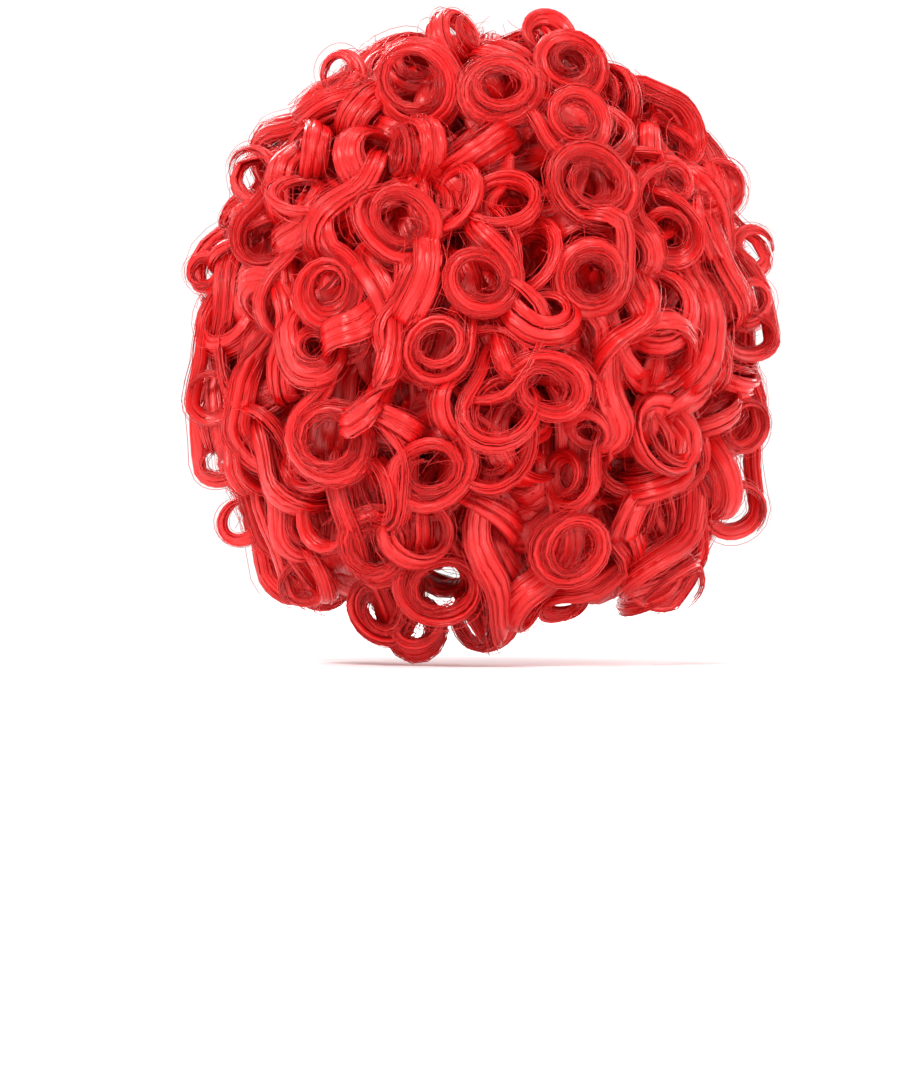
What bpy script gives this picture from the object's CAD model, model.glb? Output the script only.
"""Costume wig: a full bob of satin red ringlets, sewn in wefts to an adjustable cap.

Lengths in the layout are millimetres and angles are degrees, in the wig's own frame:
azimuth 0 is the face (-Y), 180 the nape (+Y), and latitude runs up to the crown (+Z).
"""
import math

import bpy
import numpy as np
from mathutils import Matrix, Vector


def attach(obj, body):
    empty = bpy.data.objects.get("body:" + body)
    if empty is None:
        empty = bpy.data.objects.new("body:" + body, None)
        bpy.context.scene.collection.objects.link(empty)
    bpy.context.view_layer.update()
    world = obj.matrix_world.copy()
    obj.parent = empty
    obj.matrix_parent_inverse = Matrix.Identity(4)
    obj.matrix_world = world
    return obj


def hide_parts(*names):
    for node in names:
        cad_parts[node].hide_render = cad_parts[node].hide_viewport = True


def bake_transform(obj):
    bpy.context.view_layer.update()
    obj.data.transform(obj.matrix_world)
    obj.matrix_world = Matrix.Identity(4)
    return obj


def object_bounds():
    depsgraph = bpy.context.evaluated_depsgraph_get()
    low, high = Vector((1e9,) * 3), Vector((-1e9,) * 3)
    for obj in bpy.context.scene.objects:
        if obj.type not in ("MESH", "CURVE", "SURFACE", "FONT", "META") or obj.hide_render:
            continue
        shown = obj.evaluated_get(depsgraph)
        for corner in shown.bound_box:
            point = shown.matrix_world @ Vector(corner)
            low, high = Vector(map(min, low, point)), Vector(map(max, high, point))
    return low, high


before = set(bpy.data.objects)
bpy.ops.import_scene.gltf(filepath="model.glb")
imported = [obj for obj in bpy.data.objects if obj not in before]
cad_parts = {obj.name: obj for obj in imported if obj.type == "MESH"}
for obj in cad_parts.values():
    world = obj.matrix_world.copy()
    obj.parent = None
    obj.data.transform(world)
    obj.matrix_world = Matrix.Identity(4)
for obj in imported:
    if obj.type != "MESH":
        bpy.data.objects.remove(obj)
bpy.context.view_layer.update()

MM = 0.001
SEED = 21
TAU = 2 * math.pi

# The head the cap is cut for, and the outer form of the hair
HEAD = np.array([77.0, 96.0, 100.0])
HAIR = np.array([148.0, 146.0, 172.0])
HAIR_CENTRE = np.array([0.0, 10.0, -19.0])
# The cap: its lowest edge, the net's lowest edge and the hair's hem, as latitude at each azimuth
EDGE = np.array([[0, 22], [30, 21], [50, 13], [70, 6], [95, 2], [112, -8], [126, -24], [138, -38],
                 [150, -41], [180, -41]])
NET = np.array([[0, 31], [60, 31], [100, 44], [180, 50]])
HEM = np.array([[0, 12], [20, 8], [44, -38], [60, -46], [90, -52], [130, -60], [180, -68]])
NET_TOP = 85
CAP_T = 0.8
FRONT_END, SIDE_END = 64, 118
FRONT_BAND, SIDE_BAND, NAPE_BAND = 8, 4, 7
RIB_OFF, RIB_HALF, RIB_TOP = 1.0, 2.5, 56
RIBS = {"rib_centre_back": 180, "rib_back_left": 152, "rib_back_right": -152, "rib_ear_left": 120,
        "rib_ear_right": -120, "rib_temple_left": 88, "rib_temple_right": -88}
WEFTS, WEFT_LOW, WEFT_STEP, WEFT_HALF = 12, -32, 10, 1.0
WEFT_OFF, WEFT_T, WEFT_EDGE = 2.0, 1.0, 2.5
ROOT_OFF = 3.3
# Ear tabs, and the adjusters on the nape arc
TAB_AZ, TAB_HALF, TAB_LOW, STAY_T = 57, 6.5, -14, 0.6
NAPE_LAT = math.radians(-37)
NAPE_R = HEAD[0] ** 2 / HEAD[1] * math.cos(NAPE_LAT)
NAPE_Y = HEAD[1] * math.cos(NAPE_LAT) - NAPE_R
NAPE_Z = HEAD[2] * math.sin(NAPE_LAT)
NAPE_TILT = math.atan2(-math.sin(NAPE_LAT) / HEAD[2], math.cos(NAPE_LAT) / HEAD[1])
TAPE_IN, TAPE_T, TAPE_W, TAPE_END = 2.2, 0.8, 10, 5
POCKETS, POCKET_FIRST, POCKET_PITCH = 5, 12, 7
POCKET_W, POCKET_D, POCKET_L, POCKET_WALL = 9, 2.8, 3, 0.5
HOOK_IN, HOOK_REST, HOOK_HALF, HOOK_T, HOOK_W = 4.6, 33, 5.5, 1.0, 6.0
STRAP = np.array([[116, -9], [126, -20.5], [138, -33.5], [147.6, -37]])
STRAP_T, STRAP_SEWN, STRAP_HOOKED, STRAP_DIVE = 0.8, 0.4, 4.7, 22
LABEL_HALF, LABEL_LOW, LABEL_H, LABEL_T = 4, -33, 10, 0.5
# The crown patch
PATCH_R, PATCH_T = 10.5, 1.0
# Stitches, and the section of the net's threads
STITCH_R, STITCH_OFF, STITCH_SLOT = 0.16, 0.1, 1
NET_THREADS, NET_SLANT, NET_R, NET_RIM_R = 156, 64, 0.2, 0.38

# Ringlets: shades of red, steps of the line that leads to the loops and of the loops, length of a wave
SHADES = 6
DEEP_RED, BRIGHT_RED = np.array([0.58, 0.003, 0.003]), np.array([0.73, 0.010, 0.011])
LEAD_STEPS, LOOP_STEPS = 14, 24
WAVE_LENGTH = 90
# Roots by the face lie further back than their ringlets, by this angle at most
PULL_BACK = 18
# The topmost ringlets, where their roots lie, and the ring of roots round the crown patch
TOP_LAT, TOP_ROOT_LAT, CROWN_ROOT_R = 80, 86, 9
# Room for the ear tabs: degrees either side of a tab's middle, the degrees in which it fades away beyond
# them, the hair's distance from the head, and the heights between which it fades in and out
TAB_REACH, TAB_FADE, TAB_CLEAR = 10, 9, 18
TAB_FADE_IN, TAB_FADE_OUT = (-62, -42), (15, 27)
# How far out loose hairs reach, as a part of the hair's outer form
FRIZZ_REACH = 1.01
# The outer layer: first and last row, latitude from row to row, distance along a row on a form of this
# mean radius, distance from a ring on the back, and how far below the hem a ringlet may lie
ROW_FIRST, ROW_LAST, ROW_STEP = 82, -74, 10.7
ALONG_ROW, FORM_R, RING_ROOM, HEM_SLACK = 27.5, 137, 24, 3
# Rings that give the back its look: x and z on the back, radius, turn of the flow off straight down, hand
BACK_RINGS = [
    (77, -72, 21, -60, 1), (0, 10, 15, 40, -1), (-58, 61, 22, -30, -1), (-48, 128, 15, 120, 1),
    (33, 118, 21, 20, 1), (-11, 112, 17, -20, -1), (41, 40, 16, 60, 1), (-58, 12, 17, -10, -1),
    (25, -87, 19, 30, -1), (56, -126, 18, 80, 1), (20, -148, 18, -40, 1), (-50, 95, 16, 10, 1),
    (-35, -46, 17, 160, -1), (-49, -128, 17, -60, 1), (52, -160, 15, -60, -1), (34, -170, 12, 40, 1),
]
# Thin loops that stand out of the outline: x and z on the back, radius, turn, hand
STRAYS = [
    (145, 21, 8, 60, 1), (-146, 32, 10, -60, -1), (-143, -14, 12, -30, -1), (-141, -60, 11, 10, -1),
    (-136, -104, 14, 30, -1), (-100, -142, 15, -60, -1), (92, -143, 12, 20, 1), (33, -166, 11, -40, 1),
    (141, -46, 12, 30, 1), (-37, 144, 11, 150, 1), (137, -80, 12, 0, 1), (118, 70, 13, 40, 1),
    (-128, 66, 13, -40, -1), (-142, 2, 11, 20, 1), (72, 122, 11, 100, 1), (126, -110, 12, 40, -1),
]
# Depth under the outer form, highest latitude, least azimuth from the face, distance between ringlets
UNDER_ROWS = ((38, 74, 0, 31), (62, -44, 115, 26))

# The camera's place and the height that it sees at the wig, in metres, and its sensor in millimetres
CAMERA_PLACE, VIEW_HEIGHT, SENSOR = (0.0133, 2.2, -0.1184), 0.5616, 36
FLOOR_SIZE, WORLD_LIGHT = 14, 1.03
# Lamps: name, place in metres, size in metres, watts
LAMPS = (
    ("key_back", (0.9, 1.6, 1.4), 0.6, 36), ("fill_back", (-1.3, 1.7, 0.4), 0.6, 12),
    ("key_front", (0.8, -1.9, 1.3), 0.7, 36), ("fill_front", (-1.4, -1.5, 0.4), 0.8, 12),
    ("top", (0, 0, 2.2), 0.8, 14),
)


# ---------------------------------------------------------------- places on the head and the hair's form
def unit(v):
    return v / np.maximum(np.linalg.norm(v, axis=-1, keepdims=True), 1e-9)


def direction(az, lat):
    az, lat = np.radians(az), np.radians(lat)
    return np.stack([np.cos(lat) * np.sin(az), -np.cos(lat) * np.cos(az), np.sin(lat) + 0 * az], axis=-1)


def head_point(az, lat, off=0.0):
    return (HEAD + np.asarray(off)[..., None]) * direction(az, lat)


def head_normal(az, lat):
    return unit(direction(az, lat) / HEAD)


def form_point(az, lat, depth=0.0):
    return HAIR_CENTRE + (HAIR - depth) * direction(az, lat)


def form_normal(az, lat):
    return unit(direction(az, lat) / HAIR)


def form_angles(point):
    """Azimuth and latitude of the place on the hair's outer form that lies over a point."""
    d = unit((point - HAIR_CENTRE) / HAIR)
    return math.degrees(math.atan2(d[0], -d[1])), math.degrees(math.asin(np.clip(d[2], -1, 1)))


def wrap(az):
    return (np.asarray(az) + 180.0) % 360.0 - 180.0


def along_table(table, az):
    return np.interp(np.abs(wrap(az)), table[:, 0], table[:, 1])


def edge_lat(az):
    return along_table(EDGE, az)


def hem_lat(az):
    return along_table(HEM, az)


def nape_point(phi, inward, up):
    """A place on the nape arc: angle off the centre line, distance in from the head, height along it."""
    phi = np.radians(phi)
    radius = NAPE_R - inward * math.cos(NAPE_TILT) + up * math.sin(NAPE_TILT)
    height = inward * math.sin(NAPE_TILT) + up * math.cos(NAPE_TILT)
    return np.stack([radius * np.sin(phi), NAPE_Y + radius * np.cos(phi), NAPE_Z + height], axis=-1)


# ---------------------------------------------------------------- meshes
def smooth(t):
    t = np.clip(t, 0, 1)
    return t * t * (3 - 2 * t)


def rise(value, low, high):
    """0 below low and 1 above high, with a smooth step between them."""
    return smooth((value - low) / (high - low))


class Bundle:
    """Collects quads with a material number and places along the surface, and makes one mesh of them."""

    def __init__(self):
        self.verts, self.quads, self.slots, self.uvs, self.count = [], [], [], [], 0

    def add(self, verts, quads, slots=0, uvs=None):
        self.verts.append(verts.reshape(-1, 3))
        self.quads.append(quads + self.count)
        self.slots.append(np.zeros(len(quads), int) + slots)
        self.uvs.append(np.zeros((len(quads), 4, 2)) if uvs is None else uvs)
        self.count += len(self.verts[-1])

    def build(self, name, materials):
        verts, quads = np.vstack(self.verts) * MM, np.vstack(self.quads)
        mesh = bpy.data.meshes.new(name)
        mesh.vertices.add(len(verts))
        mesh.vertices.foreach_set("co", verts.astype(np.float32).ravel())
        mesh.loops.add(quads.size)
        mesh.loops.foreach_set("vertex_index", quads.astype(np.int32).ravel())
        mesh.polygons.add(len(quads))
        mesh.polygons.foreach_set("loop_start", np.arange(0, quads.size, 4, dtype=np.int32))
        mesh.polygons.foreach_set("use_smooth", np.ones(len(quads), bool))
        for material in materials:
            mesh.materials.append(material)
        mesh.polygons.foreach_set("material_index", np.concatenate(self.slots).astype(np.int32))
        layer = mesh.uv_layers.new(name="along")
        layer.data.foreach_set("uv", np.vstack(self.uvs).astype(np.float32).ravel())
        mesh.update()
        obj = bpy.data.objects.new(name, mesh)
        bpy.context.scene.collection.objects.link(obj)
        return obj


def ring_quads(tubes, steps, sides, across, length):
    """Quads of tubes that each have a row of rings, and their places: round the tube and along it."""
    first = (np.arange(tubes) * steps * sides)[:, None, None]
    row = (np.arange(steps - 1) * sides)[None, :, None]
    j = np.arange(sides)[None, None, :]
    a = first + row + j
    b = first + row + (j + 1) % sides
    quads = np.stack([a, b, b + sides, a + sides], axis=-1)
    u0 = np.broadcast_to(across[:, None, None] * j / sides, a.shape)
    u1 = np.broadcast_to(across[:, None, None] * (j + 1) / sides, a.shape)
    v0 = np.broadcast_to(length[:, :-1, None], a.shape)
    v1 = np.broadcast_to(length[:, 1:, None], a.shape)
    uvs = np.stack([np.stack([u0, v0], -1), np.stack([u1, v0], -1), np.stack([u1, v1], -1),
                    np.stack([u0, v1], -1)], axis=-2)
    return quads.reshape(-1, 4), uvs.reshape(-1, 4, 2)


def flat_tubes(centres, wide, thick, half_w, half_t, sides, start):
    """Tubes of elliptical section: rows of centres, the section's two directions and its half sizes."""
    n, steps = centres.shape[:2]
    beta = np.arange(sides) * TAU / sides
    ring = (np.cos(beta)[:, None] * (wide * half_w[..., None])[:, :, None]
            + np.sin(beta)[:, None] * (thick * half_t[..., None])[:, :, None])
    verts = centres[:, :, None] + ring
    run = np.linalg.norm(np.diff(centres, axis=1), axis=-1)
    length = np.concatenate([np.zeros((n, 1)), np.cumsum(run, axis=1)], axis=1) + start[:, None]
    across = 4 * (half_w + half_t).max(axis=1) * 0.8
    quads, uvs = ring_quads(n, steps, sides, across, length)
    uvs[..., 0] += np.repeat(start * 7.3, (steps - 1) * sides)[:, None]
    return verts, quads, uvs


def thread(bundle, points, radius, slot=0, sides=5):
    """A round thread along a row of points."""
    tangent = unit(np.gradient(points, axis=0))
    spare = np.where(np.abs(tangent[:, 2:3]) < 0.8, [[0, 0, 1.0]], [[1.0, 0, 0]])
    wide = unit(np.cross(tangent, spare))
    thick = np.cross(tangent, wide)
    size = np.full((1, len(points)), radius)
    verts, quads, uvs = flat_tubes(points[None], wide[None], thick[None], size, size, sides, np.zeros(1))
    bundle.add(verts, quads, slot, uvs)


def sheet_of(bundle, place, nu, nv, thickness, relief=None, slot=0, closed=False):
    """A strip with two faces and rounded rims: place(u, v, off) gives points, relief(u, v) raises them."""
    u, v = np.meshgrid(np.linspace(0, 1, nu + 1), np.linspace(0, 1, nv + 1), indexing="ij")
    rim = np.minimum(1, np.sqrt(1 - np.abs(2 * v - 1) ** 24))
    if not closed:
        rim = rim * np.minimum(1, np.sqrt(1 - np.abs(2 * u - 1) ** 60))
    raised = relief(u, v) * rim if relief else 0 * u
    middle = thickness / 2
    faces = [place(u, v, middle + rim * middle - 0.15 * rim + raised),
             place(u, v, middle - rim * middle + 0.15 * rim - raised)]
    i, j = np.meshgrid(np.arange(nu), np.arange(nv), indexing="ij")
    a = (i * (nv + 1) + j).ravel()
    grid = np.stack([a, a + nv + 1, a + nv + 2, a + 1], axis=-1)
    uv = np.stack([u, v], -1).reshape(-1, 2)
    bundle.add(faces[0], grid, slot, uv[grid])
    bundle.add(faces[1], grid[:, ::-1], slot, uv[grid[:, ::-1]])


def zigzag(place, v, width, count, u0=0.0, u1=1.0, off=0.0, per=4):
    """Points of a zigzag stitch that follows a strip at v, width of v from side to side."""
    u = np.linspace(u0, u1, count * per + 1)
    t = u * 0 + np.arange(len(u)) / per
    swing = 2 * np.abs(2 * (t / 2 % 1) - 1) - 1
    return place(u, v + width / 2 * swing, off + 0.12 * np.cos(TAU * t))


# ---------------------------------------------------------------- materials
def principled(name, colour, rough, **more):
    material = bpy.data.materials.new(name)
    material.use_nodes = True
    shader = material.node_tree.nodes["Principled BSDF"]
    shader.inputs["Base Color"].default_value = (*colour, 1)
    shader.inputs["Roughness"].default_value = rough
    for key, value in more.items():
        shader.inputs[key.replace("_", " ")].default_value = value
    return material, shader


def grain(material, shader, scale, height, strength, rough_low, rough_high, coordinate="UV", detail=3):
    """Fine grain in the surface: a noise stretched by scale that bumps it and varies its roughness."""
    tree = material.node_tree
    where = tree.nodes.new("ShaderNodeTexCoord")
    stretch = tree.nodes.new("ShaderNodeMapping")
    stretch.inputs["Scale"].default_value = scale
    noise = tree.nodes.new("ShaderNodeTexNoise")
    noise.inputs["Scale"].default_value = 1
    noise.inputs["Detail"].default_value = detail
    bump = tree.nodes.new("ShaderNodeBump")
    bump.inputs["Distance"].default_value = height * MM
    bump.inputs["Strength"].default_value = strength
    rough = tree.nodes.new("ShaderNodeMapRange")
    rough.inputs["To Min"].default_value = rough_low
    rough.inputs["To Max"].default_value = rough_high
    tree.links.new(where.outputs[coordinate], stretch.inputs["Vector"])
    tree.links.new(stretch.outputs["Vector"], noise.inputs["Vector"])
    tree.links.new(noise.outputs["Fac"], bump.inputs["Height"])
    tree.links.new(noise.outputs["Fac"], rough.inputs["Value"])
    tree.links.new(bump.outputs["Normal"], shader.inputs["Normal"])
    tree.links.new(rough.outputs["Result"], shader.inputs["Roughness"])
    return material


def hair_shades():
    """Satin fibre in shades from deep to bright red, with highlights that stretch across the strands."""
    shades = []
    for k in range(SHADES):
        colour = DEEP_RED + (BRIGHT_RED - DEEP_RED) * k / (SHADES - 1)
        material, shader = principled(f"hair_{k}", colour, 0.4, Specular_IOR_Level=0.75,
                                      Specular_Tint=(1.0, 0.60, 0.58, 1), Anisotropic=0.85)
        tangent = material.node_tree.nodes.new("ShaderNodeTangent")
        tangent.direction_type = "UV_MAP"
        tangent.uv_map = "along"
        material.node_tree.links.new(tangent.outputs["Tangent"], shader.inputs["Tangent"])
        shades.append(grain(material, shader, (0.95, 0.022, 1), 0.9, 1.0, 0.22, 0.42))
    return shades


def fabric(name, colour, scale=(900, 900, 900), height=0.3, rough=0.8):
    material, shader = principled(name, colour, rough, Specular_IOR_Level=0.3, Sheen_Weight=0.2)
    return grain(material, shader, scale, height, 0.7, rough - 0.12, rough + 0.12, "Object", 4)


def plastic(name, colour, rough=0.35):
    material, shader = principled(name, colour, rough)
    return grain(material, shader, (300, 300, 300), 0.05, 0.4, rough - 0.08, rough + 0.1, "Object", 3)


# ---------------------------------------------------------------- one ringlet
def even_rows(points, rows, count):
    """A line's points and the values carried with it, respaced evenly along its length."""
    run = np.concatenate([[0], np.cumsum(np.linalg.norm(np.diff(points, axis=0), axis=1))])
    at = np.linspace(0, run[-1], count)
    return tuple(np.stack([np.interp(at, run, table[:, k]) for k in range(3)], axis=1)
                 for table in (points, rows))


def loop_line(curl, s):
    """The loops of a ringlet: a coil that tightens towards its tip, and its directions."""
    axis = unit(curl["axis"])
    flow = unit(curl["flow"] - axis * (curl["flow"] @ axis))
    first = curl["hand"] * np.cross(flow, axis)
    second = curl["hand"] * np.cross(axis, first)
    angle = TAU * curl["turns"] * s
    radius = curl["radius"] * (1 - curl["shrink"] * s ** 1.4)
    radius = radius * (1 + curl["warp"] * np.sin(1.8 * angle + curl["wave_phase"]))
    drift = curl["pitch"] * curl["turns"] * (s - 0.1)
    line = (curl["centre"] + radius[:, None] * (np.cos(angle)[:, None] * first
            + curl["squash"] * np.sin(angle)[:, None] * second) + drift[:, None] * axis)
    return line, axis, flow


def clear_of_tabs(points):
    """Moves a ringlet's line outwards where an ear tab bends out towards it."""
    place = points / HEAD
    az = np.degrees(np.arctan2(place[:, 0], -place[:, 1]))
    beside = 1 - smooth((np.abs(np.abs(az) - TAB_AZ) - TAB_REACH) / TAB_FADE)
    level = rise(points[:, 2], *TAB_FADE_IN) * (1 - rise(points[:, 2], *TAB_FADE_OUT))
    gap = (np.linalg.norm(place, axis=1) - 1) * HEAD.mean()
    return points + unit(points) * (np.maximum(0, TAB_CLEAR - gap) * beside * level)[:, None]


def centre_line(curl, fine):
    """The line of a ringlet from its weft to its tip, and its ribbon's directions along it."""
    ring, axis, flow = loop_line(curl, np.linspace(0, 1, 90))
    start, root = ring[0], curl["root"]
    reach = np.linalg.norm(start - root)
    lead = min(0.5 * reach, curl["lead"])
    t = np.linspace(0, 1, 60)[:, None]
    way = (root * (1 - t) ** 3 + 3 * (root + curl["out"] * 0.4 * reach) * t * (1 - t) ** 2
           + 3 * (start - flow * lead) * t**2 * (1 - t) + start * t**3)
    sway = curl["wave"] * np.sin(math.pi * t) ** 1.5
    phase = TAU * (curl["wave_count"] + reach / WAVE_LENGTH) * t + curl["wave_phase"]
    way = way + sway * (np.sin(phase) * axis + 0.8 * np.cos(phase) * unit(np.cross(start - root, axis)))
    turn = smooth(1.15 * t)
    side = curl["side"] * np.sign(curl["side"] @ axis + 1e-6)
    way, way_sides = even_rows(way, side * (1 - turn) + axis * turn, int(LEAD_STEPS * fine))
    ring, ring_sides = even_rows(ring, np.repeat(axis[None], len(ring), 0), int(LOOP_STEPS * fine))
    points = clear_of_tabs(np.vstack([way[:-1], ring]))
    sides = np.vstack([way_sides[:-1], ring_sides])
    tangent = unit(np.gradient(points, axis=0))
    sides = unit(sides - tangent * (sides * tangent).sum(1)[:, None])
    return points, sides, np.cross(tangent, sides)


def gather(rows, at):
    """Values of rows at fractional places."""
    low = np.minimum(at.astype(int), len(rows) - 2)
    part = (at - low)[..., None]
    return rows[low] * (1 - part) + rows[low + 1] * part


def strands_of(curl, rng, places_u, places_v, wander, ends):
    """Centres and directions of strands that lie at places in a ringlet's ribbon and wander about them.

    Ends says how far along the ringlet each strand reaches, as a part of its length.
    """
    points, sides, faces = centre_line(curl, curl["fine"])
    steps = len(points)
    t = np.linspace(0, 1, steps)
    width = curl["width"] * (0.4 + 0.6 * smooth(t / 0.35)) * (1 - 0.72 * smooth((t - 0.5) / 0.5))
    thick = curl["thick"] * (0.6 + 0.4 * smooth(t / 0.3)) * (1 - 0.5 * smooth((t - 0.6) / 0.4))
    n = len(places_u)
    waves, phase = rng.uniform(0.5, 1.9, (2, n, 1)), rng.uniform(0, TAU, (2, n, 1))
    twist = curl["lean"] * smooth(t / 0.35) + curl["twist"] * (t - 0.4)
    u = places_u[:, None] * width / 2
    v = places_v[:, None] * thick / 2
    sway = wander[:, None] * np.sin(TAU * waves * t + phase)
    du = u * np.cos(twist) - v * np.sin(twist) + sway[0]
    dv = u * np.sin(twist) + v * np.cos(twist) + 0.6 * sway[1]
    at = t[None] * ends[:, None] * (steps - 1)
    p, w, f = gather(points, at), gather(sides, at), gather(faces, at)
    return p + du[..., None] * w + dv[..., None] * f, w, f, t, twist


def add_fibres(bundle, rng, lines, wide, thick, half_w, half_t, sides, tone, spread):
    """Tubes along rows of lines, each in a shade near a tone and with its own place in the grain."""
    start = rng.uniform(0, 900, len(lines))
    verts, quads, uvs = flat_tubes(lines, wide, thick, half_w, half_t, sides, start)
    shade = np.clip(rng.normal(tone, spread, len(lines)).round(), 0, SHADES - 1).astype(int)
    bundle.add(verts, quads, np.repeat(shade, (lines.shape[1] - 1) * sides), uvs)


def add_locks(bundle, curl, rng):
    """The body of a ringlet: several flat locks of fibre that lie together and cross."""
    n = curl["locks"]
    angle = (np.arange(n) + rng.uniform(-0.3, 0.3, n)) * TAU / n
    centres, w, f, t, twist = strands_of(curl, rng, 0.56 * np.cos(angle), 0.5 * np.sin(angle),
                                         rng.uniform(0.5, 1.5, n), rng.uniform(0.88, 1.0, n))
    roll = (rng.uniform(-0.35, 0.35, n)[:, None] + rng.uniform(-0.5, 0.5, n)[:, None] * (t - 0.5)
            + twist)[..., None]
    wide, thick = w * np.cos(roll) + f * np.sin(roll), f * np.cos(roll) - w * np.sin(roll)
    grow = (0.4 + 0.6 * smooth(t / 0.3)) * (1 - 0.88 * smooth((t - 0.62) / 0.38))
    share = (6 / n) ** 0.8
    half_w = share * curl["width"] * rng.uniform(0.20, 0.30, n)[:, None] * grow
    half_t = share * curl["thick"] * rng.uniform(0.18, 0.26, n)[:, None] * (0.4 + 0.6 * grow)
    half_t = half_t * (1 - 0.7 * smooth((t - 0.85) / 0.15))
    add_fibres(bundle, rng, centres, wide, thick, half_w, half_t, 6, curl["tone"], 1.5)


def add_strands(bundle, curl, rng):
    """Single fibres over the locks, most of them close and some that fly away."""
    n = curl["strands"]
    angle = rng.uniform(0, TAU, n)
    loose = rng.random(n) < curl["loose"]
    out = np.where(loose, rng.uniform(1.0, 1.35, n), rng.uniform(0.86, 1.02, n))
    wander = np.where(loose, rng.uniform(2.0, 4.5, n), rng.uniform(0.3, 1.0, n))
    centres, w, f, t, _ = strands_of(curl, rng, out * np.cos(angle), out * np.sin(angle), wander,
                                     rng.uniform(0.9, 1.0, n))
    radius = np.where(loose, rng.uniform(0.13, 0.2, n), rng.uniform(0.22, 0.42, n))[:, None]
    radius = radius * (1 - 0.7 * smooth((t - 0.85) / 0.15))
    add_fibres(bundle, rng, centres, w, f, radius, radius, 3, curl["tone"] + 0.6, 1.0)


def add_frizz(bundle, curl, rng, steps=9):
    """Short fine hairs that have come loose from a ringlet and cross its loops."""
    n = curl["frizz"]
    points, sides, faces = centre_line(curl, 1.0)
    at = rng.integers(LEAD_STEPS // 2, len(points) - 2, n)
    along = unit(points[at + 1] - points[at])
    heading = unit(along + rng.normal(0, 0.55, (n, 3)))
    bend = unit(np.cross(heading, rng.normal(0, 1, (n, 3))))
    start = points[at] + sides[at] * rng.normal(0, 5, (n, 1)) + faces[at] * rng.normal(0, 4, (n, 1))
    length, curve = rng.uniform(12, 34, (n, 1, 1)), rng.uniform(0.4, 2.6, (n, 1, 1))
    s = np.linspace(-0.5, 0.5, steps)[None, :, None]
    centres = (start[:, None] + length / curve * (np.sin(curve * s) * heading[:, None]
               + (1 - np.cos(curve * s)) * bend[:, None]))
    tangent = unit(np.gradient(centres, axis=1))
    wide = np.repeat(unit(np.cross(heading, bend))[:, None], steps, axis=1)
    radius = rng.uniform(0.10, 0.17, n)[:, None] * np.ones(steps)
    tone = rng.integers(2, SHADES, n)
    kept = np.linalg.norm((centres - HAIR_CENTRE) / HAIR, axis=-1).max(axis=1) < FRIZZ_REACH
    if not kept.any():
        return
    centres, wide, tangent, radius, tone = (rows[kept] for rows in (centres, wide, tangent, radius, tone))
    verts, quads, uvs = flat_tubes(centres, wide, np.cross(tangent, wide), radius, radius, 3,
                                   np.zeros(len(centres)))
    bundle.add(verts, quads, np.repeat(tone, (steps - 1) * 3), uvs)


# ---------------------------------------------------------------- where the ringlets lie
def tangents(normal):
    """Directions on a surface: down along it, and across."""
    down = np.array([0, 0, -1.0]) + normal[2] * normal
    if np.linalg.norm(down) < 0.2:
        down = np.array([normal[0], normal[1] + 1e-3, 0.0])
    down = unit(down)
    return down, np.cross(normal, down)


def root_of(az, lat, row):
    """The weft that feeds a ringlet at this place, and the ringlet's root on it."""
    pull = PULL_BACK * np.clip((10 - lat) / 45, 0, 1) * np.clip((90 - abs(az)) / 52, 0, 1)
    root_az = az + math.copysign(pull, az)
    low = max(edge_lat(root_az) + 4, WEFT_LOW)
    ideal = low + (TOP_ROOT_LAT - low) * (lat - hem_lat(az)) / (TOP_LAT - hem_lat(az))
    k = int(np.clip(round((ideal - WEFT_LOW) / WEFT_STEP), 0, WEFTS))
    if WEFT_LOW + k * WEFT_STEP < edge_lat(root_az) + WEFT_EDGE:
        k += 1
    if k >= WEFTS:
        root = CROWN_ROOT_R * direction(az, 0) + [0, 0, HEAD[2] + CAP_T + 1.5]
        return WEFTS, root, unit(root * [2, 2, 1])
    root_lat = WEFT_LOW + k * WEFT_STEP + (0.8 if row % 2 else -0.8)
    return k, head_point(root_az, root_lat, ROOT_OFF), head_normal(root_az, root_lat)


def base_curl(az, lat, row, rng):
    """What every ringlet has: its root, and the number, size and looseness of its loops and strands."""
    weft, root, out = root_of(az, lat, row)
    return {
        "weft": weft, "root": root, "out": out, "side": tangents(out)[1], "turns": rng.uniform(1.1, 1.9),
        "shrink": rng.uniform(0.3, 0.55), "pitch": rng.uniform(5, 11) * rng.choice([-1, 1]),
        "squash": rng.uniform(0.85, 1.2), "wave": rng.uniform(6, 12), "wave_count": rng.uniform(0.1, 0.6),
        "wave_phase": rng.uniform(0, TAU), "width": rng.uniform(12, 19), "thick": rng.uniform(5, 7),
        "locks": 9, "strands": 22, "loose": 0.35, "twist": rng.uniform(-0.9, 0.9),
        "lead": rng.uniform(22, 40), "lean": rng.uniform(-0.9, 0.9), "warp": rng.uniform(0.03, 0.13),
        "frizz": 12, "tone": rng.uniform(1.6, 4.2), "fine": 1.0,
    }


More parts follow.
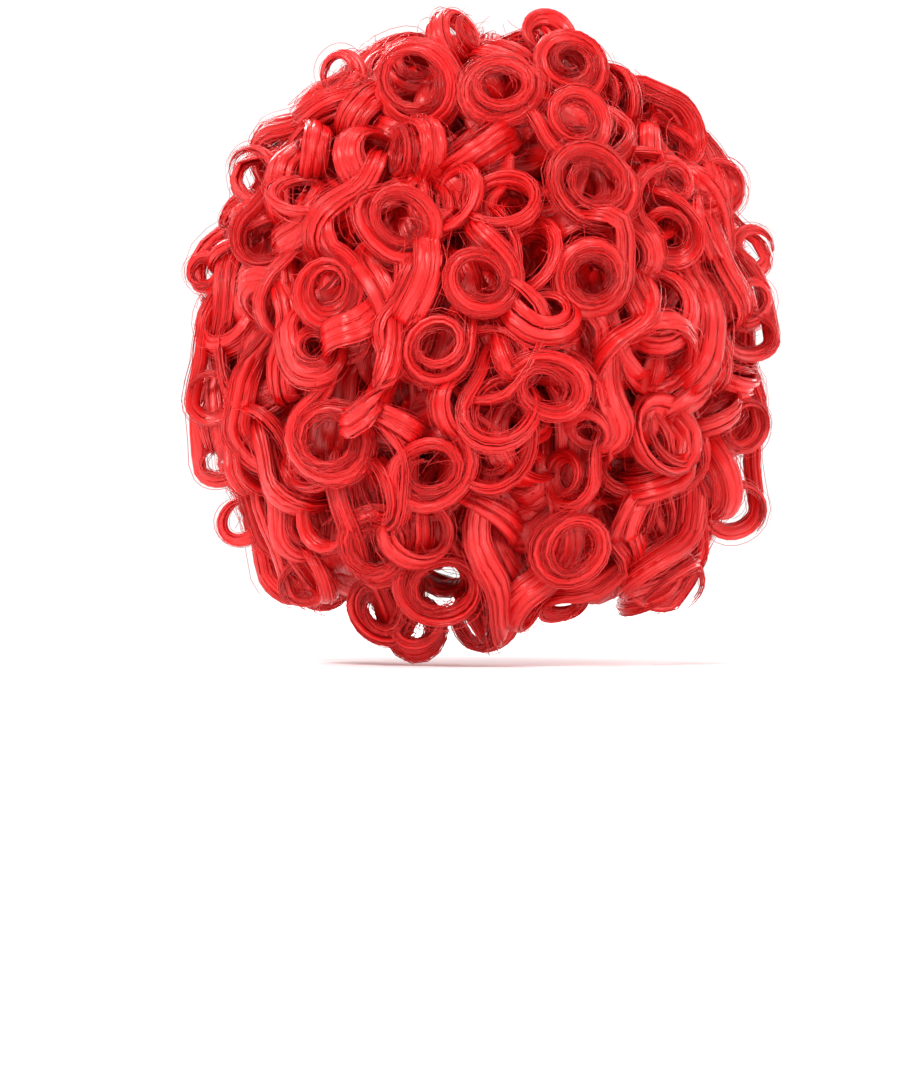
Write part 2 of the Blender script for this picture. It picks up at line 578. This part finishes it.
def surface_curl(az, lat, row, rng):
    """A ringlet of the outer layer: face-on rings, rolled barrels and slanting coils are mixed."""
    curl = base_curl(az, lat, row, rng)
    normal = form_normal(az, lat)
    down, across = tangents(normal)
    radius = rng.uniform(12, 21)
    kind, swing = rng.random(), rng.uniform(-1, 1)
    if kind < 0.36:
        axis = unit(normal + 0.4 * rng.normal(0, 1, 3))
        flow = down * math.cos(1.5 * swing) + across * math.sin(1.5 * swing)
        depth, hand = 12, rng.choice([-1, 1])
    else:
        slant = swing * (0.8 if kind < 0.6 else 1.5)
        lift = rng.choice([-1, 1]) * rng.uniform(0.2, 1.1)
        axis = unit(across * math.cos(slant) + down * math.sin(slant) + lift * normal)
        flow = np.cross(axis, normal)
        flow = unit(flow * np.sign(flow @ down + 1e-6) + rng.uniform(0, 0.6) * normal)
        under = 1 if rng.random() < 0.75 else -1
        hand = under * np.sign(np.cross(flow, axis) @ normal)
        depth = radius + 4
    curl.update(axis=axis, flow=flow, hand=hand, radius=radius,
                centre=form_point(az, lat, depth + rng.uniform(-4, 6)))
    return curl


def ring_curl(x, z, radius, turn, hand, rng, depth=9.0, stray=False):
    """A ring that faces the back, at a place seen from behind, and the place's angles."""
    inside = 1 - ((x - HAIR_CENTRE[0]) / HAIR[0]) ** 2 - ((z - HAIR_CENTRE[2]) / HAIR[2]) ** 2
    y = HAIR_CENTRE[1] + HAIR[1] * math.sqrt(max(inside, 0.01))
    az, lat = form_angles(np.array([x, y, z]))
    curl = base_curl(az, lat, 0, rng)
    normal = form_normal(az, lat)
    down, across = tangents(normal)
    lean = unit(0.4 * normal + np.array([0, 1.0, 0]) + rng.normal(0, 0.16, 3))
    a = math.radians(turn)
    centre = np.array([x, y, z]) - 6 * normal if stray else form_point(az, lat, depth)
    curl.update(axis=lean, flow=down * math.cos(a) + across * math.sin(a), hand=hand, radius=radius,
                centre=centre, turns=rng.uniform(1.5, 2.2), shrink=rng.uniform(0.42, 0.66), pitch=5.0,
                squash=rng.uniform(0.8, 1.15),
                thick=6.5, width=12.5, strands=32, locks=10, loose=0.4,
                lean=rng.choice([-1, 1]) * rng.uniform(0.75, 1.15), frizz=22)
    if stray:
        curl.update(width=8, thick=4, locks=5, strands=18, turns=rng.uniform(0.9, 1.3), loose=0.5, lead=16,
                    shrink=rng.uniform(-0.3, 0.25))
    return curl, az, lat


def form_distance(a, b):
    return float(np.linalg.norm(form_point(*a) - form_point(*b)))


def outer_layer(rng):
    """The rings and stray loops on the back, then rows of ringlets wherever there is still room."""
    curls, taken = [], []
    for ring in BACK_RINGS:
        curl, az, lat = ring_curl(*ring, rng)
        curls.append(curl)
        taken.append((az, lat))
    curls += [ring_curl(*ring, rng, stray=True)[0] for ring in STRAYS]
    for row, lat in enumerate(np.arange(ROW_FIRST, ROW_LAST, -ROW_STEP)):
        n = max(4, round(TAU * FORM_R * math.cos(math.radians(lat)) / ALONG_ROW))
        for i in range(n):
            az = wrap((i + 0.5 * (row % 2)) * 360 / n + rng.uniform(-4, 4))
            here = lat + rng.uniform(-3.5, 3.5)
            clear = all(form_distance((az, here), ring) > RING_ROOM for ring in taken)
            if clear and here > hem_lat(az) - HEM_SLACK:
                curls.append(surface_curl(az, here, row, rng))
    return curls


def under_layer(rng):
    """Shorter, simpler ringlets under the outer ones, which fill the depth of the hair."""
    curls = []
    for depth, top, front, gap in UNDER_ROWS:
        for row, lat in enumerate(np.arange(top, -72, -13)):
            n = max(5, round(TAU * (150 - depth) * math.cos(math.radians(lat)) / gap))
            for i in range(n):
                az = wrap((i + 0.5 * (row % 2)) * 360 / n + rng.uniform(-4, 4))
                if abs(az) >= front and lat > hem_lat(az) + (-3 if abs(az) > 100 else 2):
                    curl = surface_curl(az, lat, row, rng)
                    curl.update(centre=form_point(az, lat, depth), locks=4, strands=6, tone=1.0, width=20,
                                thick=8, fine=0.65)
                    curls.append(curl)
    return curls


def weft_name(k):
    return "crown" if k == WEFTS else f"{k + 1:02d}"


def build_hair(shades):
    """One piece of ringlets for each weft and side, because a whole weft's hair is too large a mesh."""
    rng = np.random.default_rng(SEED)
    bundles = {}
    for curl in outer_layer(rng) + under_layer(rng):
        key = (curl["weft"], "left" if curl["root"][0] >= 0 else "right")
        bundle = bundles.setdefault(key, Bundle())
        add_locks(bundle, curl, rng)
        add_strands(bundle, curl, rng)
        add_frizz(bundle, curl, rng)
    for (weft, side), bundle in sorted(bundles.items()):
        piece = bundle.build(f"ringlets_{weft_name(weft)}_{side}", shades)
        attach(piece, "cap")
        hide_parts(f"curls_{weft_name(weft)}")


# ---------------------------------------------------------------- the cap
def place_strip(az0, az1, low, high, inner):
    """Places on a shell over the head: u runs in azimuth, v from low(az) to high(az)."""
    def place(u, v, off):
        az = az0 + (az1 - az0) * u
        return head_point(az, low(az) + (high(az) - low(az)) * v, inner + off)
    return place


def place_nape(phi0, phi1, width, inward):
    """Places on the nape arc: u runs round it, v across a width. Off is measured back towards the head."""
    def place(u, v, off):
        return nape_point(phi0 + (phi1 - phi0) * u, inward - off, (v - 0.5) * width)
    return place


def cords(count, height, axis=0):
    """A relief of fine parallel cords that follow one another along u (0) or v (1)."""
    return lambda u, v: height * np.abs(np.sin(math.pi * count * (u if axis == 0 else v)))


def knit(across, along, height):
    """A relief of small stitches in rows."""
    return lambda u, v: height * np.abs(np.sin(math.pi * across * u) * np.sin(math.pi * along * v))


def finish_piece(bundle, name, materials, body, node):
    """Makes a piece that stands for a CAD node. It rides on a body, unless it is to be blended."""
    piece = bundle.build(name, materials)
    if body:
        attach(piece, body)
    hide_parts(node)
    return piece


def sewn_strip(name, node, materials, place, nu, nv, relief, thickness, stitches, body="cap"):
    """A strip of the cap with rows of zigzag stitches: each row is v, width in v and number of stitches."""
    bundle = Bundle()
    sheet_of(bundle, place, nu, nv, thickness, relief)
    for v, width, count in stitches:
        for off in (thickness + STITCH_OFF, -STITCH_OFF):
            thread(bundle, zigzag(place, v, width, count, 0.01, 0.99, off), STITCH_R, STITCH_SLOT)
    return finish_piece(bundle, name, materials, body, node)


def build_bands(band, stitch):
    rises = {"front_band": (-FRONT_END, FRONT_END, FRONT_BAND),
             "side_binding_left": (FRONT_END + 0.3, SIDE_END - 0.3, SIDE_BAND),
             "side_binding_right": (0.3 - SIDE_END, -FRONT_END - 0.3, SIDE_BAND),
             "nape_band": (SIDE_END, 360 - SIDE_END, NAPE_BAND)}
    for node, (az0, az1, rise) in rises.items():
        place = place_strip(az0, az1, edge_lat, lambda az, rise=rise: edge_lat(az) + rise, 0)
        wide = az1 - az0
        rows = [(v, 0.12, int(wide)) for v in (0.14, 0.86)]
        sewn_strip(f"{node}_cloth", node, [band, stitch], place, int(wide * 7), 4 * rise + 8,
                   knit(wide * 1.2, rise * 1.6, 0.22), CAP_T, rows)


def build_ribs(elastic, stitch):
    for node, az in RIBS.items():
        place = place_strip(az - RIB_HALF, az + RIB_HALF, lambda a: edge_lat(a) + 1,
                            lambda a: 0 * a + RIB_TOP, RIB_OFF)
        length = RIB_TOP - float(edge_lat(az))
        bundle = Bundle()
        sheet_of(bundle, place, 10, int(length * 7), CAP_T, cords(int(length * 1.4), 0.25, 1))
        for u in (0.18, 0.82):
            line = np.linspace(0.02, 0.98, int(length * 5))
            wave = u + 0.05 * np.sin(np.arange(len(line)) * 1.6)
            for off in (CAP_T + 0.12, -0.1):
                thread(bundle, place(wave, line, off), 0.15, 1)
        finish_piece(bundle, f"{node}_elastic", [elastic, stitch], "cap", node)


def build_net(net):
    """Threads that cross in two slanting families, with a thicker thread round either rim."""
    bundle = Bundle()
    steps = 44
    t = np.linspace(0, 1, steps)[None]
    for slant, off in ((NET_SLANT, 0.25), (-NET_SLANT, 0.5)):
        az = np.arange(NET_THREADS)[:, None] * 360 / NET_THREADS + slant * t
        low = along_table(NET, az)
        lat = low + (NET_TOP - low) * t
        centres, normal = head_point(az, lat, off), head_normal(az, lat)
        tangent = unit(np.gradient(centres, axis=1))
        size = np.full((NET_THREADS, steps), NET_R)
        verts, quads, uvs = flat_tubes(centres, normal, np.cross(tangent, normal), size, size, 3,
                                       np.zeros(NET_THREADS))
        bundle.add(verts, quads, 0, uvs)
    around = np.linspace(0, 360, 361)
    thread(bundle, head_point(around, along_table(NET, around) + 0.3, 0.4), NET_RIM_R)
    thread(bundle, head_point(around, NET_TOP - 0.3 + 0 * around, 0.4), NET_RIM_R)
    finish_piece(bundle, "crown_net_threads", [net], "cap", "crown_net")


def weft_start(lat):
    """Azimuth where a weft at this latitude begins beside the open face, or 0 for a whole ring."""
    az = np.linspace(0, 180, 721)
    return float(az[edge_lat(az) + WEFT_EDGE <= lat].min())


def build_wefts(weft, stitch, shades):
    """Each weft is a track of fibre ends sewn flat, with the first part of its fibres standing off it."""
    rng = np.random.default_rng(SEED + 1)
    for k in range(WEFTS):
        lat = WEFT_LOW + k * WEFT_STEP
        start = weft_start(lat)
        wide = 360 - 2 * start
        place = place_strip(start, 360 - start, lambda az, lat=lat: lat - WEFT_HALF + 0 * az,
                            lambda az, lat=lat: lat + WEFT_HALF + 0 * az, WEFT_OFF)
        turn = math.cos(math.radians(lat))
        bundle = Bundle()
        sheet_of(bundle, place, int(wide * 4 * turn), 6, WEFT_T, cords(int(wide * 1.3 * turn), 0.25),
                 closed=start == 0)
        for v in (0.3, 0.7):
            for off in (WEFT_T + 0.12, -0.1):
                thread(bundle, zigzag(place, v, 0.2, int(wide * 0.7 * turn), 0, 1, off), STITCH_R,
                       STITCH_SLOT)
        add_roots(bundle, rng, start, lat, int(wide * 1.5 * turn), 2)
        name = f"weft_{k + 1:02d}"
        finish_piece(bundle, f"{name}_track", [weft, stitch, *shades], "cap", name)


def add_roots(bundle, rng, start, lat, count, first_slot, steps=9):
    """Fibres that leave a weft outwards, bend over and fall. They hide most of the cap."""
    az = start + (360 - 2 * start) * rng.random(count)
    root = head_point(az, lat + rng.uniform(-0.8, 0.8, count), WEFT_OFF + WEFT_T)
    out = head_normal(az, 0 * az + lat)
    across = unit(np.cross(out, [0, 0, 1.0]))
    down = np.cross(out, across)
    down = down * -np.sign(down[:, 2:3])
    lift, fall = rng.uniform(5, 14, (count, 1, 1)), rng.uniform(18, 42, (count, 1, 1))
    sway = rng.normal(0, 7, (count, 1, 1))
    s = np.linspace(0, 1, steps)[None, :, None]
    centres = (root[:, None] + out[:, None] * lift * np.sin(1.5 * s) + down[:, None] * fall * s**2
               + across[:, None] * sway * s**1.5)
    tangent = unit(np.gradient(centres, axis=1))
    wide = unit(np.cross(tangent, out[:, None] + 0.01 * across[:, None]))
    radius = rng.uniform(0.3, 0.6, count)[:, None] * np.linspace(1, 0.5, steps)
    verts, quads, uvs = flat_tubes(centres, wide, np.cross(tangent, wide), 2.2 * radius, radius, 4,
                                   rng.uniform(0, 900, count))
    tone = first_slot + rng.integers(0, SHADES - 2, count)
    bundle.add(verts, quads, np.repeat(tone, (steps - 1) * 4), uvs)


def build_patch(band, stitch):
    """The round patch at the crown, domed a little and sewn with rings of stitches."""
    height = HEAD[2] + CAP_T

    def place(u, v, off):
        r = PATCH_R * v
        return np.stack([r * np.sin(TAU * u), -r * np.cos(TAU * u), height + off + 0 * r], axis=-1)
    bundle = Bundle()
    sheet_of(bundle, lambda u, v, off: place(u, 1 - v, off), 96, 20, PATCH_T, knit(60, 14, 0.2),
             closed=True)
    for v in (0.35, 0.6, 0.85):
        thread(bundle, zigzag(place, v, 0.06, int(60 * v), 0, 1, PATCH_T + 0.08), STITCH_R, STITCH_SLOT)
    finish_piece(bundle, "crown_patch_cloth", [band, stitch], "cap", "crown_patch")


def build_ear_tabs(band, stitch, stay):
    for side, name in ((1, "left"), (-1, "right")):
        middle = side * TAB_AZ

        def low(az):
            ease = 1 - ((az - middle) / TAB_HALF) ** 4
            return 2 + (TAB_LOW - 2) * (0.6 + 0.4 * ease)
        body = f"ear_tab_{name}"
        place = place_strip(middle - TAB_HALF, middle + TAB_HALF, low, lambda az: edge_lat(az) - 0.3, 0)
        bundle = Bundle()
        sheet_of(bundle, place, 70, 110, CAP_T, knit(16, 30, 0.2))
        turn = np.linspace(0, TAU, 241)
        rim_u = 0.5 + 0.44 * np.sign(np.cos(turn)) * np.abs(np.cos(turn)) ** 0.35
        rim_v = 0.5 + 0.45 * np.sign(np.sin(turn)) * np.abs(np.sin(turn)) ** 0.35
        for off in (CAP_T + 0.1, -0.1):
            thread(bundle, place(rim_u, rim_v + 0.012 * np.cos(40 * turn), off), STITCH_R, STITCH_SLOT)
        finish_piece(bundle, f"{body}_cloth", [band, stitch], body, body)
        bundle = Bundle()
        place = place_strip(middle - 1, middle + 1, lambda az: TAB_LOW + 3 + 0 * az,
                            lambda az: edge_lat(az) - 2, CAP_T + 0.2)
        sheet_of(bundle, place, 12, 90, STAY_T, lambda u, v: 0.08 * np.cos(math.pi * (u - 0.5)))
        for v in (0.12, 0.5, 0.88):
            across = np.linspace(0, 1, 13)
            wave = v + 0.012 * np.cos(12 * math.pi * across)
            thread(bundle, place(2.4 * across - 0.7, wave, STAY_T + 0.12), STITCH_R, STITCH_SLOT)
        finish_piece(bundle, f"ear_stay_{name}_spring", [stay, stitch], body, f"ear_stay_{name}")


def build_adjusters(elastic, stitch, hook):
    last = POCKET_FIRST + (POCKETS - 1) * POCKET_PITCH
    for side, name in ((1, "left"), (-1, "right")):
        ends = sorted((side * (POCKET_FIRST - TAPE_END), side * (last + TAPE_END)), reverse=True)
        tape = place_nape(*ends, TAPE_W, TAPE_IN + TAPE_T)
        sewn_strip(f"adjuster_tape_{name}_elastic", f"adjuster_tape_{name}", [elastic, stitch],
                   tape, 260, 16, cords(42, 0.22), TAPE_T, [(0.1, 0.1, 40), (0.9, 0.1, 40)])
        bundle = Bundle()
        for i in range(POCKETS):
            add_pocket(bundle, side * (POCKET_FIRST + i * POCKET_PITCH))
        finish_piece(bundle, f"tape_pockets_{name}_loops", [elastic, stitch], "cap", f"tape_pockets_{name}")
        bundle = Bundle()
        add_hook(bundle, side)
        finish_piece(bundle, f"adjuster_hook_{name}_plate", [hook], f"adjuster_hook_{name}",
                     f"adjuster_hook_{name}")
        build_strap(name, side, elastic, stitch)


def add_pocket(bundle, phi):
    """A loop of tape, sewn shut above and below the slot that the hook slides through."""
    half_d, half_w = POCKET_D / 2 - POCKET_WALL, POCKET_W / 2 - POCKET_WALL
    long = math.degrees(POCKET_L / (NAPE_R - HOOK_IN))

    def place(u, v, off):
        c, s = np.cos(TAU * u), np.sin(TAU * u)
        inward = HOOK_IN + (half_d + off) * np.sign(c) * np.abs(c) ** 0.3
        return nape_point(phi + (v - 0.5) * long, inward, (half_w + off) * np.sign(s) * np.abs(s) ** 0.3)
    sheet_of(bundle, place, 96, 14, POCKET_WALL, cords(48, 0.1), closed=True)
    for v in (0.2, 0.8):
        around = np.linspace(0, 1, 97)
        thread(bundle, place(around, v + 0.04 * np.cos(48 * TAU * around), POCKET_WALL + 0.08), 0.13, 1)


def add_hook(bundle, side):
    """A thin tongue with rounded corners, a slot for the strap and two low ribs for grip."""
    nu, nv = 72, 48
    middle = side * HOOK_REST
    flat = place_nape(middle + HOOK_HALF, middle - HOOK_HALF, HOOK_W, HOOK_IN + HOOK_T / 2)
    u, v = np.meshgrid((np.arange(nu) + 0.5) / nu, (np.arange(nv) + 0.5) / nv, indexing="ij")
    strap_end = u if side > 0 else 1 - u
    x, y = np.abs(u - 0.5) * 9.0, np.abs(v - 0.5) * HOOK_W
    corner = np.hypot(np.maximum(x - 3.4, 0), np.maximum(y - 1.9, 0)) < 1.1
    slot = (np.abs(strap_end - 0.16) < 0.06) & (np.abs(v - 0.5) < 0.32)
    add_plate(bundle, flat, corner & ~slot, HOOK_T)
    for spot in (0.55, 0.72) if side > 0 else (0.45, 0.28):
        line = np.linspace(0.2, 0.8, 25)
        for off in (HOOK_T, 0.0):
            thread(bundle, flat(spot + 0 * line, line, off), 0.18)


def add_plate(bundle, place, filled, thickness):
    """A flat plate made of the filled cells of a grid, with walls round every edge and slot."""
    nu, nv = filled.shape
    u, v = np.meshgrid(np.linspace(0, 1, nu + 1), np.linspace(0, 1, nv + 1), indexing="ij")
    top, low = place(u, v, thickness).reshape(-1, 3), place(u, v, 0 * u).reshape(-1, 3)
    i, j = np.nonzero(filled)
    a = i * (nv + 1) + j
    b, c, d = a + nv + 1, a + nv + 2, a + 1
    bundle.add(top, np.stack([a, b, c, d], -1))
    bundle.add(low, np.stack([d, c, b, a], -1))
    framed = np.pad(filled, 1)
    for (di, dj), (p, q) in {(0, -1): (a, b), (1, 0): (b, c), (0, 1): (c, d), (-1, 0): (d, a)}.items():
        edge = ~framed[i + 1 + di, j + 1 + dj]
        walls = np.stack([p[edge] + len(top), q[edge] + len(top), q[edge], p[edge]], -1)
        bundle.add(np.vstack([top, low]), walls)


def build_strap(name, side, elastic, stitch):
    """The elastic strap from the band behind the ear to the hook. It stretches as the hook moves."""
    half = HOOK_W / 2 / math.radians(1) / HEAD[2]
    az0, az1 = sorted((side * STRAP[0, 0], side * STRAP[-1, 0]))

    def place(u, v, off):
        az = az0 + (az1 - az0) * u
        dive = np.minimum(1, (np.abs(az) - STRAP[0, 0]) / STRAP_DIVE)
        deep = STRAP_SEWN + (STRAP_HOOKED - STRAP_SEWN) * dive
        lat = np.interp(np.abs(az), STRAP[:, 0], STRAP[:, 1]) + half * (2 * v - 1)
        return head_point(az, lat, off - deep - STRAP_T)
    strap = sewn_strip(f"adjuster_strap_{name}_elastic", f"adjuster_strap_{name}",
                       [elastic, stitch], place, 220, 24, cords(7, 0.2, 1), STRAP_T,
                       [(0.12, 0.08, 36), (0.88, 0.08, 36)], body=None)
    ends = [Vector(place(np.array(u), np.array(0.5), np.array(STRAP_T / 2)) * MM) for u in (0.05, 0.95)]
    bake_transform(strap)


def build_label(label, stitch):
    place = place_strip(180 - LABEL_HALF, 180 + LABEL_HALF, lambda az: LABEL_LOW + 0 * az,
                        lambda az: LABEL_LOW + LABEL_H + 0 * az, -0.3 - LABEL_T)
    sewn_strip("size_label_blank", "size_label", [label, stitch], place, 90, 120,
               knit(40, 60, 0.07), LABEL_T, [(0.06, 0.03, 16), (0.94, 0.03, 16)])


def build_cap(shades):
    net = fabric("net_thread", (0.16, 0.006, 0.006))
    band = fabric("knitted_band", (0.30, 0.010, 0.012))
    elastic = fabric("ribbed_elastic", (0.22, 0.008, 0.010), rough=0.7)
    weft = fabric("weft_track", (0.36, 0.008, 0.008), rough=0.6)
    stitch = fabric("stitching", (0.50, 0.015, 0.018), rough=0.6)
    label = fabric("woven_label", (0.82, 0.81, 0.77), rough=0.55)
    build_net(net)
    build_patch(band, stitch)
    build_bands(band, stitch)
    build_ribs(elastic, stitch)
    build_wefts(weft, stitch, shades)
    build_ear_tabs(band, stitch, plastic("stay_plastic", (0.70, 0.70, 0.68)))
    build_adjusters(elastic, stitch, plastic("hook_plastic", (0.04, 0.04, 0.04), 0.3))
    build_label(label, stitch)


# ---------------------------------------------------------------- the studio
def build_stage(floor_z):
    bpy.ops.mesh.primitive_plane_add(size=FLOOR_SIZE, location=(0, 0, floor_z))
    floor = bpy.context.object
    floor.name = "floor"
    material, _ = principled("floor", (0.98, 0.98, 0.98), 0.9, Specular_IOR_Level=0.0)
    floor.data.materials.append(material)
    world = bpy.data.worlds.new("studio")
    bpy.context.scene.world = world
    world.use_nodes = True
    background = world.node_tree.nodes["Background"]
    background.inputs["Color"].default_value = (1, 1, 1, 1)
    background.inputs["Strength"].default_value = WORLD_LIGHT
    for name, place, size, power in LAMPS:
        light = bpy.data.lights.new(name, "AREA")
        light.size = size
        light.energy = power
        lamp = bpy.data.objects.new(name, light)
        bpy.context.scene.collection.objects.link(lamp)
        lamp.location = place
        lamp.rotation_euler = Vector([-c for c in place]).to_track_quat("-Z", "Y").to_euler()


def build_camera():
    """Behind the wig at the height of the shoulders, level, as a head-and-shoulders portrait is taken."""
    data = bpy.data.cameras.new("camera")
    data.sensor_width = SENSOR
    data.lens = SENSOR * CAMERA_PLACE[1] / VIEW_HEIGHT
    camera = bpy.data.objects.new("camera", data)
    bpy.context.scene.collection.objects.link(camera)
    camera.location = CAMERA_PLACE
    camera.rotation_euler = (math.pi / 2, 0, math.pi)
    bpy.context.scene.camera = camera


build_camera()
hair = hair_shades()
build_cap(hair)
build_hair(hair)
visual_low, visual_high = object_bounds()
build_stage(visual_low[2] - 0.001)
bpy.context.scene.view_settings.view_transform = "Standard"
bpy.context.scene.cycles.diffuse_bounces = 10
